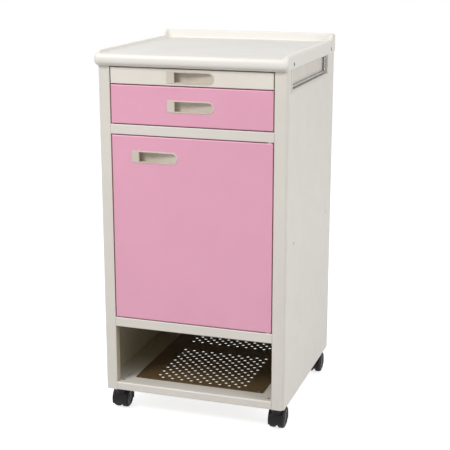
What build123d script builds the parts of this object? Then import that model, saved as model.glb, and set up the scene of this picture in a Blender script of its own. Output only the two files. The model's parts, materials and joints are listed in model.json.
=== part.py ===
from build123d import *
import os
from math import floor

os.makedirs("parts", exist_ok=True)

# Bedside cabinet on casters, in millimetres. X runs across the front, -Y is the front, +Z is up.
# The origin is on the floor, under the centre of the moulded top.

# ---- carcass ----
body_width = 450
body_depth = 450
sheet = 1.2                    # steel gauge
bend = 2.0                     # outer radius of a fold
corner_radius = 10             # rounded front corner post
stile_width = 30
stile_return = 20              # depth of the fold that faces the opening
rear_flange = 25
fold_lip = 14                  # small stiffening lips
rail_lip = 18                  # the shelf rails' lower lip

# ---- heights of the front, from the carcass's lower edge up ----
plinth_height = 20
bay_height = 144
rail_height = 23
door_opening = 446
drawer_opening = 92
tray_opening = 41
front_roll_height = 28         # moulded top, from its lower front edge to the deck
side_rim_height = 7
gallery_height = 21

# ---- moulded top ----
overhang_front = 14
overhang_side = 3
top_wall = 3.5
skirt_gap = 0.3
skirt_drop = 24                # from the deck down to the lower edge of the side skirt
rim_width = 13
gallery_thickness = 15
top_screw_radius = 4.5
top_screw_drop = 15            # from the deck down to the screws
top_screw_front = 41
top_screw_rear = 44
top_screw_length = 12

# ---- fits ----
front_gap = 2.0                # shadow gap round the fronts
running = 0.5                  # sliding parts
pivot_clearance = 0.05
seat = 0.3

# ---- fronts and flush pulls ----
front_thickness = 20
front_rounding = 2.5
pull_length = 112
pull_height = 28
pull_proud = 1.2
cup_height = 22.5
cup_wall = 1.6
cup_lip = 3.0
cup_block = 18                 # solid end of the bezel, beside the mouth
cup_hook = 10                  # undercut behind that end
door_pull_inset = 105
door_pull_drop = 48
liner_press = 1.9               # field pressed into the door's liner

# ---- sliding parts ----
board_thickness = 12
board_tail = 27.6               # left free behind the board, and behind the drawer
drawer_tail = 47.6
drawer_wall = 2.5
slide_height = 12

# ---- door pivot ----
pivot_inset = 8
pivot_setback = 6
pivot_radius = 2.5
bush_wall = 1.05
bush_flange = 1.6
bush_depth = 5

# ---- towel rail ----
wire = 6.0
rail_margin_front = 30
rail_margin_rear = 68
recess_height = 49
recess_depth = 11
rail_slack = 1.5               # wire to the recess above and below
housing_wall = 2.0
housing_end = 6.0
housing_flange = 4.0

# ---- shelf plate ----
plate_thickness = 1.5
plate_side_margin = 61.5
plate_front_margin = 40
plate_rear_margin = 29
ledge = 8
cross_bar = 36
cross_bar_place = 283          # centre of the bar, from the front of the carcass
hole_radius = 4.0
hole_pitch_x = 24.5
hole_pitch_y = 26
hole_margin_x = 48
hole_margin_y = 3

# ---- casters ----
wheel_radius = 25
wheel_headroom = 12            # from the top of the wheels up to the carcass
wheel_width = 15.5
tread_chamfer = 1.5
tread_shoulder = 6             # rounded from the tread to the rim's bead
shoulder_radius = 7
bead_width = 4
bead_proud = 1
caster_trail = 12
caster_inset_side = 25
caster_inset_front = 34
caster_inset_rear = 42
web_half = 3.8
wheel_play = 0.5                # between the web and a wheel
tread_gap = 0.9
hood_wall = 1.8
hood_setback = 1.5              # the wheels stand out past the hood
hood_skirt = 11                 # how far the hood reaches below the axle
hood_rounding = 1.2
axle_radius = 3.0
axle_cover = 3.2               # wheel material outside the axle's end
kingpin_radius = 5.0
kingpin_length = 20
boss_radius = 15
boss_bite = 6                   # how far the boss runs down into the hood
bolt_head_radius = 4
bolt_head_height = 3
mount_plate = 42
mount_thickness = 2.5
mount_pitch = 31
mount_corner = 4

# ---- places worked out from the sizes above ----
half_width = body_width / 2
overall_depth = body_depth + overhang_front + overhang_side
body_front = -overall_depth / 2 + overhang_front
body_back = body_front + body_depth
half_opening = half_width - stile_width
cup_depth = front_thickness - sheet - liner_press - seat - cup_wall
inner_half = half_width - sheet
base_z = 2 * wheel_radius + wheel_headroom
floor_z = base_z + plinth_height
bay_top_z = floor_z + bay_height
cupboard_z = bay_top_z + rail_height
door_top_z = cupboard_z + door_opening
drawer_z = door_top_z + rail_height
drawer_top_z = drawer_z + drawer_opening
opening_top_z = drawer_top_z + tray_opening
deck_z = opening_top_z + front_roll_height
panel_top_z = deck_z - top_wall
skirt_z = deck_z - skirt_drop
gallery_z = deck_z + gallery_height
back_face = body_back - sheet              # inner face of the rear flanges
back_inner = back_face - sheet             # front face of the back panel
behind_stiles = body_front + stile_return
fronts_back = body_front + front_thickness
front_half = half_opening - front_gap
board_length = back_inner - fronts_back - board_tail
drawer_length = back_inner - fronts_back - drawer_tail
screw_z = deck_z - top_screw_drop
screw_places = [body_front + top_screw_front, body_back - top_screw_rear]


def mirrored(part):
    """The same piece for the left side."""
    with BuildPart() as other:
        mirror(part, about=Plane.YZ, mode=Mode.REPLACE)
    return other.part


def divided(part, *planes):
    """The same piece as solids that meet face to face in the planes."""
    with BuildPart() as pieces:
        add(part)
        for plane in planes:
            split(bisect_by=plane, keep=Keep.BOTH)
    return pieces.part


def save(part, name):
    part.label = name
    export_step(part, f"parts/{name}.step")


# ---- side panels: one folded skin with the corner post, its return and a rear flange ----
recess_top_z = skirt_z - skirt_gap
recess_bottom_z = recess_top_z - recess_height
recess_front = body_front + rail_margin_front
recess_back = body_back - rail_margin_rear
recess_middle = (recess_front + recess_back) / 2
recess_length = recess_back - recess_front
pin_radius = 2.5
pin_reach = 9
pin_flange = 0.7
pin_margin_front = 70
pin_margin_rear = 60
shelf_thickness = 18
shelf_z = cupboard_z + door_opening / 2
pin_places = [body_front + pin_margin_front, body_back - pin_margin_rear]
pin_z = shelf_z - shelf_thickness - pin_radius - seat

with BuildPart() as side_panel_right:
    with BuildSketch(Plane.XY.offset(base_z)):
        with BuildLine():
            FilletPolyline(
                (half_opening, behind_stiles),
                (half_opening, body_front),
                (half_width, body_front),
                (half_width, body_back),
                (half_width - rear_flange, body_back),
                radius=[bend, corner_radius, bend],
            )
            offset(amount=sheet, side=Side.LEFT)
        make_face()
    extrude(amount=panel_top_z - base_z)
    # window for the towel rail housing
    with BuildSketch(Plane.YZ.offset(half_width)):
        with Locations((recess_middle, (recess_bottom_z + recess_top_z) / 2)):
            Rectangle(recess_length, recess_height)
    extrude(amount=-2 * sheet, mode=Mode.SUBTRACT)
    # the post's return stops above the caster plate
    with BuildSketch(Plane.XY.offset(base_z)):
        with Locations((half_opening, (body_front + corner_radius + behind_stiles) / 2)):
            Rectangle(4 * bend, stile_return - corner_radius)
    extrude(amount=plinth_height, mode=Mode.SUBTRACT)
    # holes for the top's screws and for the shelf pins
    with BuildSketch(Plane.YZ.offset(half_width)):
        with Locations([(y, screw_z) for y in screw_places]):
            Circle(top_screw_radius / 2 + seat)
        with Locations([(y, pin_z) for y in pin_places]):
            Circle(pin_radius + seat)
    extrude(amount=-2 * sheet, mode=Mode.SUBTRACT)

save(side_panel_right.part, "side_panel_right")
save(mirrored(side_panel_right.part), "side_panel_left")

# ---- back panel: a flat sheet with two fields pressed outwards ----
back_half = inner_half - bend
field_margin = 45
field_depth = 3
field_radius = 20
press_taper = 30                # slope of pressed fields, in degrees
field_height = (panel_top_z - base_z - 3 * field_margin) / 2
field_places = [
    base_z + field_margin + field_height / 2,
    panel_top_z - field_margin - field_height / 2,
]


def rear_plane(y):
    """A plane that faces backwards."""
    return Plane(origin=(0, y, 0), x_dir=(-1, 0, 0), z_dir=(0, 1, 0))


with BuildPart() as back_panel:
    with BuildSketch(rear_plane(back_inner)):
        with Locations((0, (base_z + panel_top_z) / 2)):
            Rectangle(2 * back_half, panel_top_z - base_z)
    extrude(amount=sheet)
    with BuildSketch(rear_plane(back_face)):
        with Locations([(0, z) for z in field_places]):
            RectangleRounded(2 * (back_half - field_margin), field_height, field_radius)
    extrude(amount=field_depth, taper=press_taper)
    with BuildSketch(rear_plane(back_inner)):
        with Locations([(0, z) for z in field_places]):
            RectangleRounded(2 * (back_half - field_margin), field_height, field_radius)
    extrude(amount=field_depth, taper=press_taper, mode=Mode.SUBTRACT)
save(back_panel.part, "back_panel")

# ---- floor pan: plinth, floor and rear fold, with two windows under the plate ----
plate_half = half_width - plate_side_margin
plate_front = body_front + plate_front_margin
plate_back = body_back - plate_rear_margin
bar_middle = body_front + cross_bar_place
windows = [
    (plate_front + ledge, bar_middle - cross_bar / 2),
    (bar_middle + cross_bar / 2, plate_back - ledge),
]
corners = [
    ("front_left", -1, body_front + caster_inset_front),
    ("front_right", 1, body_front + caster_inset_front),
    ("rear_left", -1, body_back - caster_inset_rear),
    ("rear_right", 1, body_back - caster_inset_rear),
]
caster_x = half_width - caster_inset_side
pan_under = floor_z - sheet
bolt_radius = 2.5
window_radius = 8
cross_length = 4.4              # cross recess of the screws
cross_width = 0.9
cross_depth = 0.8


def cut_behind_stiles(low_z, high_z):
    """Clears the two front corners of a full-width sheet, where the posts stand."""
    with BuildSketch(Plane.XY.offset(low_z)) as posts:
        for side in (-1, 1):
            with Locations((side * (half_opening + stile_width / 2), body_front)):
                Rectangle(stile_width, 2 * stile_return)
    extrude(posts.sketch, amount=high_z - low_z, mode=Mode.SUBTRACT)


with BuildPart() as floor_pan:
    with BuildSketch(Plane.YZ):
        with BuildLine():
            FilletPolyline(
                (body_front + fold_lip, base_z),
                (body_front, base_z),
                (body_front, floor_z),
                (back_inner, floor_z),
                (back_inner, base_z),
                radius=[bend, 2 * bend, bend],
            )
            offset(amount=sheet, side=Side.RIGHT)
        make_face()
    extrude(amount=inner_half, both=True)
    cut_behind_stiles(base_z, floor_z)
    with BuildSketch(Plane.XY.offset(floor_z)):
        for low, high in windows:
            with Locations((0, (low + high) / 2)):
                RectangleRounded(2 * (plate_half - ledge), high - low, window_radius)
        for name, side, y in corners:
            with Locations((side * caster_x, y)):
                with GridLocations(mount_pitch, mount_pitch, 2, 2):
                    Circle(bolt_radius + seat)
    extrude(amount=-2 * sheet, mode=Mode.SUBTRACT)
save(floor_pan.part, "floor_pan")

# ---- perforated shelf plate: staggered holes in two fields, plain over the cross bar ----
columns = floor(2 * (plate_half - hole_margin_x) / hole_pitch_x) + 1
plate_radius = 5
screw_inset = 11
screw_head_radius = 3.6         # countersunk, flush with the plate
screw_angle = 45
countersink = screw_head_radius - bolt_radius + seat
plate_screw_places = [
    (side * (plate_half - screw_inset), y)
    for side in (-1, 1)
    for y in (plate_front + ledge / 2, plate_back - ledge / 2)
]

with BuildPart() as perforated_plate:
    with BuildSketch(Plane.XY.offset(floor_z)):
        with Locations((0, (plate_front + plate_back) / 2)):
            RectangleRounded(2 * plate_half, plate_back - plate_front, plate_radius)
    extrude(amount=plate_thickness)
    with BuildSketch(Plane.XY.offset(floor_z)):
        # the front field starts with a short row, the rear field with a full one
        for (low, high), lead in zip(windows, (1, 0)):
            room = high - low - 2 * (hole_margin_y + hole_radius) - lead * hole_pitch_y / 2
            rows = floor(room / hole_pitch_y) + 1
            middle = (low + high) / 2 + lead * hole_pitch_y / 4
            with Locations((0, middle)):
                with GridLocations(hole_pitch_x, hole_pitch_y, columns, rows):
                    RegularPolygon(hole_radius, 8)
            short_rows = rows - 1 + lead
            if short_rows:
                with Locations((0, middle - lead * hole_pitch_y / 2)):
                    with GridLocations(hole_pitch_x, hole_pitch_y, columns - 1, short_rows):
                        RegularPolygon(hole_radius, 8)
        with Locations(plate_screw_places):
            Circle(bolt_radius)
    extrude(amount=plate_thickness, mode=Mode.SUBTRACT)
    with BuildSketch(Plane.XY.offset(floor_z + plate_thickness)):
        with Locations(plate_screw_places):
            Circle(screw_head_radius + seat)
    extrude(amount=-countersink, taper=screw_angle, mode=Mode.SUBTRACT)
save(perforated_plate.part, "perforated_plate")

with BuildPart() as plate_screws:
    with BuildSketch(Plane.XY.offset(floor_z + plate_thickness)):
        with Locations(plate_screw_places):
            Circle(screw_head_radius)
    extrude(amount=-countersink, taper=screw_angle)
    with BuildSketch(Plane.XY.offset(floor_z)):
        with Locations(plate_screw_places):
            Circle(bolt_radius - seat)
    extrude(amount=plate_thickness - countersink / 2)
    # cross recess
    with BuildSketch(Plane.XY.offset(floor_z + plate_thickness)):
        with Locations(plate_screw_places):
            Rectangle(cross_length, cross_width)
            Rectangle(cross_width, cross_length)
    extrude(amount=-cross_depth, mode=Mode.SUBTRACT)
save(plate_screws.part, "plate_screws")


# ---- full-width shelves with a front rail: cupboard floor and drawer divider ----
def railed_shelf(low_z):
    """A sheet folded into a front rail; its top is the shelf, a lip stiffens each end."""
    high_z = low_z + rail_height
    with BuildSketch(Plane.YZ) as folds:
        with BuildLine():
            FilletPolyline(
                (body_front + rail_lip, low_z),
                (body_front, low_z),
                (body_front, high_z),
                (back_inner, high_z),
                (back_inner, high_z - fold_lip),
                radius=[bend, bend, bend],
            )
            offset(amount=sheet, side=Side.RIGHT)
        make_face()
    extrude(folds.sketch, amount=inner_half, both=True)
    cut_behind_stiles(low_z, high_z)


pivot_x = front_half - pivot_inset
pivot_y = body_front + pivot_setback
bush_radius = pivot_radius + pivot_clearance + bush_wall

with BuildPart() as cupboard_floor:
    railed_shelf(bay_top_z)
    with BuildSketch(Plane.XY.offset(cupboard_z)):
        with Locations((pivot_x, pivot_y)):
            Circle(bush_radius)
    extrude(amount=-2 * sheet, mode=Mode.SUBTRACT)
save(cupboard_floor.part, "cupboard_floor")

with BuildPart() as drawer_divider:
    railed_shelf(door_top_z)
    with BuildSketch(Plane.XY.offset(door_top_z)):
        with Locations((pivot_x, pivot_y)):
            Circle(bush_radius)
    extrude(amount=2 * sheet, mode=Mode.SUBTRACT)
save(drawer_divider.part, "drawer_divider")

# nylon bushes in the two rails, with a flange that takes the door's weight
flange_thickness = front_gap - seat
with BuildPart() as pivot_bushes:
    for rail_face, into in ((cupboard_z, -1), (door_top_z, 1)):
        with BuildSketch(Plane.XY.offset(rail_face)):
            with Locations((pivot_x, pivot_y)):
                Circle(bush_radius + bush_flange)
        extrude(amount=-into * flange_thickness)
        with BuildSketch(Plane.XY.offset(rail_face)):
            with Locations((pivot_x, pivot_y)):
                Circle(bush_radius)
        extrude(amount=into * bush_depth)
    with BuildSketch(Plane.XY.offset(cupboard_z - bush_depth)):
        with Locations((pivot_x, pivot_y)):
            Circle(pivot_radius + pivot_clearance)
    extrude(amount=door_opening + 2 * bush_depth, mode=Mode.SUBTRACT)
save(pivot_bushes.part, "pivot_bushes")

# ---- top front stretcher: ties the side panels under the moulded top ----
stretcher_depth = 26
with BuildPart() as top_stretcher:
    with BuildSketch(Plane.YZ):
        with BuildLine():
            FilletPolyline(
                (behind_stiles + stretcher_depth, skirt_z),
                (behind_stiles + seat, skirt_z),
                (behind_stiles + seat, panel_top_z),
                (behind_stiles + stretcher_depth, panel_top_z),
                radius=[bend, bend],
            )
            offset(amount=sheet, side=Side.RIGHT)
        make_face()
    extrude(amount=inner_half, both=True)
save(top_stretcher.part, "top_stretcher")

# ---- loose shelf in the cupboard, an upturned pan on four pins ----
shelf_setback = 14
shelf_play = 1                  # to the walls on each side
shelf_front = fronts_back + shelf_setback
shelf_back = back_inner - shelf_play
with BuildPart() as cupboard_shelf:
    with BuildSketch(Plane.XY.offset(shelf_z)):
        with Locations((0, (shelf_front + shelf_back) / 2)):
            Rectangle(2 * (inner_half - shelf_play), shelf_back - shelf_front)
    extrude(amount=-shelf_thickness)
    fillet(cupboard_shelf.faces().sort_by(Axis.Z)[-1].edges(), bend)
    offset(amount=-sheet, openings=cupboard_shelf.faces().sort_by(Axis.Z)[0])
save(cupboard_shelf.part, "cupboard_shelf")

with BuildPart() as shelf_pins:
    for side in (-1, 1):
        with BuildSketch(Plane.YZ.offset(side * inner_half)):
            with Locations([(y, pin_z) for y in pin_places]):
                Circle(2 * pin_radius)
        extrude(amount=-side * pin_flange)
        with BuildSketch(Plane.YZ.offset(side * inner_half)):
            with Locations([(y, pin_z) for y in pin_places]):
                Circle(pin_radius)
        extrude(amount=-side * pin_reach)
save(shelf_pins.part, "shelf_pins")

# ---- moulded top: rolled front, raised side rims and a rear gallery ----
top_half = half_width + overhang_side
top_front = body_front - overhang_front
top_back = body_back + overhang_side
rim_z = deck_z + side_rim_height
nose_rise = 13                  # from the lower front edge to the nose
roll_nose_z = opening_top_z + nose_rise
gallery_front = top_back - gallery_thickness
rise = 34                       # length over which the rims climb to the gallery
rim_fall = 18                   # length over which they fall to the roll
roll_tuck = 12
rim_rounding = 8
deck_half = top_half - rim_width
deck_cove = 5                   # where the deck meets the rims and the gallery
deck_corner = 12
wall_taper = 11                 # lean of the rims' inner sides, in degrees
lip_radius = 3
rib_pitch = 80
rib_width = 2.4
rib_depth = 8
rib_play = 3
top_screw_head = 1.8


def side_pockets(radius, from_x, depth):
    """Round pockets at the top's screw places, cut inwards from both sides."""
    for side in (-1, 1):
        with BuildSketch(Plane.YZ.offset(side * from_x)) as pockets:
            with Locations([(y, screw_z) for y in screw_places]):
                Circle(radius)
        extrude(pockets.sketch, amount=-side * depth, mode=Mode.SUBTRACT)


# the space over the deck, with its base coved
with BuildPart() as deck_space:
    with BuildSketch(Plane.XY.offset(deck_z)):
        with Locations((0, gallery_front)):
            Rectangle(2 * deck_half, overall_depth, align=(Align.CENTER, Align.MAX))
    extrude(amount=2 * gallery_height, taper=-wall_taper)
    standing = deck_space.edges().filter_by(lambda edge: abs(edge.tangent_at(0.5).Z) > 0.5)
    fillet(standing.group_by(Axis.Y)[-1], deck_corner)
    base_edges = deck_space.faces().sort_by(Axis.Z)[0].edges()
    fillet(base_edges.filter_by(lambda edge: edge.center().Y > top_front), deck_cove)
deck_form = deck_space.part

with BuildPart() as top_board:
    # side outline: rolled nose, rim line, climb to the gallery
    with BuildSketch(Plane.YZ):
        with BuildLine():
            Line((top_back, skirt_z), (top_back, gallery_z))
            Line((top_back, gallery_z), (gallery_front, gallery_z))
            Spline(
                (gallery_front, gallery_z),
                (gallery_front - rise, rim_z),
                tangents=[(-1, 0), (-1, 0)],
            )
            Line((gallery_front - rise, rim_z), (body_front + rim_fall, rim_z))
            Spline(
                (body_front + rim_fall, rim_z),
                (top_front, roll_nose_z),
                tangents=[(-1, 0), (0, -1)],
            )
            Spline(
                (top_front, roll_nose_z),
                (top_front + roll_tuck, opening_top_z),
                tangents=[(0, -1), (0.9, -0.5)],
            )
            Line((top_front + roll_tuck, opening_top_z), (body_front, opening_top_z))
            Line((body_front, opening_top_z), (body_front, skirt_z))
            Line((body_front, skirt_z), (top_back, skirt_z))
        make_face()
    extrude(amount=top_half, both=True)
    # soft outer edges: both side outlines down to the skirt, and the rear edge
    outline = top_board.edges().filter_by(
        lambda edge: abs(abs(edge.center().X) - top_half) < 0.1 and edge.center().Z > roll_nose_z
    )
    rear_edge = top_board.edges().filter_by(Axis.X).group_by(Axis.Z)[-1].sort_by(Axis.Y)[-1]
    fillet(outline + [rear_edge], rim_rounding)
    # deck, sunk between the rims and the gallery, with a soft lip all round
    add(deck_form, mode=Mode.SUBTRACT)
    lip = top_board.edges(Select.LAST).filter_by(
        lambda edge: abs(edge.tangent_at(0.5).Z) < 0.9
        and (edge.center().Y < body_front + rim_fall or edge.center().Z > rim_z - 1)
    )
    fillet(lip, lip_radius)
    # hollow underside
    with BuildSketch(Plane.XY.offset(opening_top_z)):
        with Locations((0, (body_front + body_back) / 2)):
            Rectangle(body_width + 2 * skirt_gap, body_depth + 2 * skirt_gap)
    extrude(amount=panel_top_z - opening_top_z, mode=Mode.SUBTRACT)
    # ribs under the deck, clear of the carcass
    rib_front = behind_stiles + stretcher_depth + rib_play
    rib_back = back_inner - rib_play
    rib_half = inner_half - rib_play
    rib_middle = (rib_front + rib_back) / 2
    with BuildSketch(Plane.XY.offset(panel_top_z)):
        with Locations((0, rib_middle)):
            with GridLocations(rib_pitch, 0, floor(2 * rib_half / rib_pitch), 1):
                Rectangle(rib_width, rib_back - rib_front)
            with GridLocations(0, rib_pitch, 1, floor((rib_back - rib_front) / rib_pitch)):
                Rectangle(2 * rib_half, rib_width)
    extrude(amount=-rib_depth)
    side_pockets(top_screw_radius + seat, top_half, top_screw_head + seat)
    side_pockets(top_screw_radius / 2 + seat, top_half, 2 * overhang_side)
save(top_board.part, "top_board")

with BuildPart() as top_screws:
    for side in (-1, 1):
        head_face = side * (top_half - seat)
        with BuildSketch(Plane.YZ.offset(head_face)):
            with Locations([(y, screw_z) for y in screw_places]):
                Circle(top_screw_radius)
        extrude(amount=-side * (top_screw_head - seat))
        with BuildSketch(Plane.YZ.offset(head_face)):
            with Locations([(y, screw_z) for y in screw_places]):
                Circle(top_screw_radius / 2)
        extrude(amount=-side * top_screw_length)
        with BuildSketch(Plane.YZ.offset(head_face)):
            with Locations([(y, screw_z) for y in screw_places]):
                Rectangle(cross_length, cross_width)
                Rectangle(cross_width, cross_length)
        extrude(amount=-side * cross_depth, mode=Mode.SUBTRACT)
save(top_screws.part, "top_screws")


# ---- guides and runners: deep channels on the side walls ----
channel_front = max(behind_stiles, fronts_back) + seat


def side_channel(reach, web, middle_z, inside_height):
    """A channel that opens inwards; its mouth takes a sliding edge."""
    top = middle_z + inside_height / 2 + sheet
    bottom = middle_z - inside_height / 2 - sheet
    with BuildPart() as channel:
        with BuildSketch(Plane.XZ.offset(-channel_front)):
            with BuildLine():
                FilletPolyline(
                    (reach, bottom), (web, bottom), (web, top), (reach, top),
                    radius=[bend, bend],
                )
                offset(amount=sheet, side=Side.LEFT)
            make_face()
        extrude(amount=-(back_inner - seat - channel_front))
    return channel.part


board_play = 1.0                # to the opening on each side
slide_play = 1.5
box_play = 6.5
board_half = half_opening - board_play
tray_low_z = drawer_top_z + front_gap / 2
tray_high_z = opening_top_z - front_gap
tray_middle_z = (tray_low_z + tray_high_z) / 2
guide_bite = 8                  # how far the channel covers the board's edge
slide_bite = 4
box_half = half_opening - box_play
slide_half = half_opening - slide_play
drawer_high_z = drawer_top_z - front_gap / 2
drawer_low_z = drawer_z + front_gap
drawer_middle_z = (drawer_low_z + drawer_high_z) / 2

housing_back_x = half_width - recess_depth - housing_wall
tray_guide = side_channel(
    board_half - guide_bite, housing_back_x - seat, tray_middle_z, board_thickness + 2 * running
)
save(mirrored(tray_guide), "tray_guide_left")
save(tray_guide, "tray_guide_right")

drawer_runner = side_channel(
    slide_half - slide_bite, inner_half, drawer_middle_z, slide_height + 2 * running
)
save(mirrored(drawer_runner), "drawer_runner_left")
save(drawer_runner, "drawer_runner_right")


# ---- flush pull: a bezel square at one end and round at the other, over a finger cup ----
bezel_corner = 3
bezel_rounding = 0.9
overreach = 5                   # cutting forms start this far outside
cup_floor_length = 30           # level part of the cup's floor
cup_shallow = 5                 # depth left at the right end


def bezel_face(place, length, height):
    """Outline on a front, square at its left end and half round at its right."""
    with BuildSketch(place) as face:
        with Locations((-height / 4, 0)):
            Rectangle(length - height / 2, height)
        with Locations((length / 2 - height / 2, 0)):
            Circle(height / 2)
        fillet(face.vertices().group_by(Axis.X)[0], bezel_corner)
    return face.sketch


def pull_plane(x, z, y):
    """A plane that faces the front."""
    return Plane(origin=(x, y, z), x_dir=(1, 0, 0), z_dir=(0, -1, 0))


mouth_left = -pull_length / 2 + cup_block
mouth_right = pull_length / 2 - (pull_height - cup_height) / 2
cup_left = mouth_left - cup_hook
cup_bend = mouth_left + cup_floor_length


def cup_form(x, z, outer):
    """The finger space: a hook at the left and a floor that rises to the right.

    The outer form is the same space with the moulding's wall round it."""
    y = body_front
    grow = cup_wall if outer else 0
    with BuildPart() as form:
        with BuildSketch(Plane.XY.offset(z - cup_height / 2 - grow)):
            with BuildLine():
                if outer:
                    Polyline(
                        (x + cup_left, y), (x + cup_left, y + cup_depth),
                        (x + cup_bend, y + cup_depth), (x + mouth_right, y + cup_shallow),
                        (x + mouth_right, y), close=True,
                    )
                else:
                    Polyline(
                        (x + mouth_left, y - overreach), (x + mouth_left, y + cup_lip),
                        (x + cup_left, y + cup_lip), (x + cup_left, y + cup_depth),
                        (x + cup_bend, y + cup_depth), (x + mouth_right, y + cup_shallow),
                        (x + mouth_right, y - overreach), close=True,
                    )
            make_face()
            if outer:
                offset(amount=grow)
        extrude(amount=cup_height + 2 * grow)
        # round at its right end, and cut off at the front face when it is the outer form
        reach = 0 if outer else overreach
        mask = bezel_face(
            pull_plane(x + (cup_left + mouth_right) / 2, z, y - reach),
            mouth_right - cup_left + 2 * grow, cup_height + 2 * grow,
        )
        extrude(mask, amount=-2 * cup_depth, mode=Mode.INTERSECT)
    return form.part


def flush_pull(x, z, name):
    """A one-piece moulded pull, proud of its front by the bezel's thickness."""
    outer = cup_form(x, z, True)
    inner = cup_form(x, z, False)
    bezel = bezel_face(pull_plane(x, z, body_front), pull_length, pull_height)
    with BuildPart() as pull:
        add(outer)
        extrude(bezel, amount=pull_proud)
        fillet(pull.faces().sort_by(Axis.Y)[0].outer_wire().edges(), bezel_rounding)
        add(inner, mode=Mode.SUBTRACT)
    save(pull.part, name)


def pressed_front(low_z, high_z, pull_x, pull_z):
    """A pressed steel pan, open at the back, pierced for its pull."""
    middle = (low_z + high_z) / 2
    place = pull_plane(pull_x + (cup_left + mouth_right) / 2, pull_z, body_front)
    grow = cup_wall + seat
    with BuildPart() as pan:
        with Locations((0, (body_front + fronts_back) / 2, middle)):
            Box(2 * front_half, front_thickness, high_z - low_z)
        fillet(pan.faces().sort_by(Axis.Y)[0].edges(), front_rounding)
        offset(amount=-sheet, openings=pan.faces().sort_by(Axis.Y)[-1])
        pierced = bezel_face(place, mouth_right - cup_left + 2 * grow, cup_height + 2 * grow)
        extrude(pierced, amount=-2 * sheet, mode=Mode.SUBTRACT)
    return pan.part


# ---- pull-out board ----
save(pressed_front(tray_low_z, tray_high_z, 0, tray_middle_z), "tray_front")
flush_pull(0, tray_middle_z, "tray_pull")

board_front = fronts_back
board_rim = 16
board_sink = 3
board_skin = 3
board_corner = 8
board_cells = 4                 # ribs' cells along each side
sunk_corner = 12
with BuildPart() as tray_board:
    board_place = (0, board_front + board_length / 2, tray_middle_z)
    with Locations(board_place):
        Box(2 * board_half, board_length, board_thickness)
    fillet(tray_board.edges().filter_by(Axis.Z).group_by(Axis.Y)[-1], board_corner)
    top_face = Plane.XY.offset(tray_middle_z + board_thickness / 2)
    with BuildSketch(top_face):
        with Locations(board_place[:2]):
            RectangleRounded(
                2 * (board_half - board_rim), board_length - 2 * board_rim, sunk_corner,
            )
    extrude(amount=-board_sink, mode=Mode.SUBTRACT)
    # ribbed underside
    with BuildSketch(Plane.XY.offset(tray_middle_z - board_thickness / 2)):
        with Locations(board_place[:2]):
            cell_x = 2 * (board_half - board_rim) / board_cells
            cell_y = (board_length - 2 * board_rim) / board_cells
            with GridLocations(cell_x, cell_y, board_cells, board_cells):
                Rectangle(cell_x - board_skin, cell_y - board_skin)
    extrude(amount=board_thickness - board_sink - board_skin, mode=Mode.SUBTRACT)
save(tray_board.part, "tray_board")

# ---- drawer ----
save(pressed_front(drawer_low_z, drawer_high_z, 0, drawer_middle_z), "drawer_front")
flush_pull(0, drawer_middle_z, "drawer_pull")

box_lift = 4                    # above the divider
box_drop = 9                    # below the front's upper edge
box_corner = 10
box_base_radius = 5
slide_setback = 12
box_low_z = drawer_z + box_lift
box_high_z = drawer_high_z - box_drop
with BuildPart() as drawer_box:
    with Locations((0, fronts_back + drawer_length / 2, (box_low_z + box_high_z) / 2)):
        Box(2 * box_half, drawer_length, box_high_z - box_low_z)
    fillet(drawer_box.edges().filter_by(Axis.Z), box_corner)
    fillet(drawer_box.faces().sort_by(Axis.Z)[0].edges(), box_base_radius)
    offset(amount=-drawer_wall, openings=drawer_box.faces().sort_by(Axis.Z)[-1])
save(drawer_box.part, "drawer_box")


def drawer_slide():
    """A U strip on the drawer's side, open outwards, that runs in the fixed channel."""
    high = drawer_middle_z + slide_height / 2
    low = drawer_middle_z - slide_height / 2
    with BuildPart() as strip:
        with BuildSketch(Plane.XZ.offset(-fronts_back - slide_setback)):
            with BuildLine():
                FilletPolyline(
                    (slide_half, low), (box_half, low), (box_half, high), (slide_half, high),
                    radius=[bend, bend],
                )
                offset(amount=sheet, side=Side.RIGHT)
            make_face()
        extrude(amount=-(drawer_length - 2 * slide_setback))
    return strip.part


slide_right = drawer_slide()
save(mirrored(slide_right), "drawer_slide_left")
save(slide_right, "drawer_slide_right")

# ---- door: pressed panel, liner, pull, pivots and strike plate ----
door_low_z = cupboard_z + front_gap
door_high_z = door_top_z - front_gap
door_pull_x = -front_half + door_pull_inset
door_pull_z = door_high_z - door_pull_drop
pivot_hole = pivot_radius + seat

with BuildPart() as door_panel:
    add(pressed_front(door_low_z, door_high_z, door_pull_x, door_pull_z))
    with BuildSketch(Plane.XY.offset(door_low_z - 1)):
        with Locations((pivot_x, pivot_y)):
            Circle(pivot_hole)
    extrude(amount=door_high_z - door_low_z + 2, mode=Mode.SUBTRACT)
save(door_panel.part, "door_panel")
flush_pull(door_pull_x, door_pull_z, "door_pull")

liner_half = front_half - sheet - seat
liner_margin = 40
liner_corner = 14
with BuildPart() as door_liner:
    liner_height = door_high_z - door_low_z - 2 * (sheet + seat)
    liner_middle = (door_high_z + door_low_z) / 2
    liner_field = (2 * (liner_half - liner_margin), liner_height - 2 * liner_margin)
    with BuildSketch(Plane.XZ.offset(-fronts_back)):
        with Locations((0, liner_middle)):
            Rectangle(2 * liner_half, liner_height)
    extrude(amount=sheet)
    # a pressed field stiffens it
    with BuildSketch(Plane.XZ.offset(-fronts_back + sheet)):
        with Locations((0, liner_middle)):
            RectangleRounded(*liner_field, liner_corner)
    extrude(amount=liner_press, taper=press_taper)
    with BuildSketch(Plane.XZ.offset(-fronts_back)):
        with Locations((0, liner_middle)):
            RectangleRounded(*liner_field, liner_corner)
    extrude(amount=liner_press, taper=press_taper, mode=Mode.SUBTRACT)
save(door_liner.part, "door_liner")

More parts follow.
